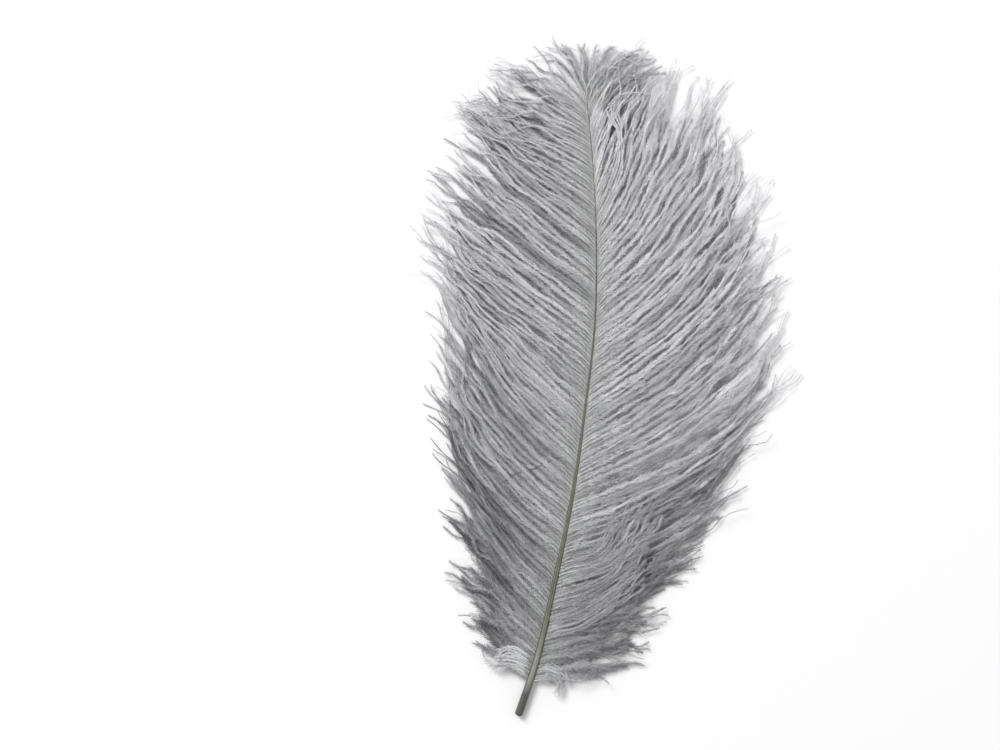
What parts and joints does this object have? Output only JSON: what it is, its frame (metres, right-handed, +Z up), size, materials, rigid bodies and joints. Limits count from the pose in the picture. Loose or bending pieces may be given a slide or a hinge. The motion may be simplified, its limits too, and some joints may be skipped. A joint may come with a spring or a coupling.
{
  "type": "ostrich feather",
  "caption": "Loose ostrich plume lying flat: a bowed, tapering shaft with a soft vane of free barbs on each side, for trims, fans and table displays.",
  "frame": {"origin": "under the middle of the feather, on the surface that it lies on", "axes": "+Z up from the surface, +Y from the quill to the tip, +X to the side that the shaft bows to"},
  "size_m": [0.1728, 0.3039, 0.007],
  "materials": {
    "barbs": "soft dyed silver-grey barbs with fine loose barbules, matte with a faint sheen along each barb",
    "shaft": "olive-grey horn, satin, with a groove along its middle and a dark quill end"
  },
  "bodies": {
    "root": {"feather": "barbs"}
  },
  "joints": []
}
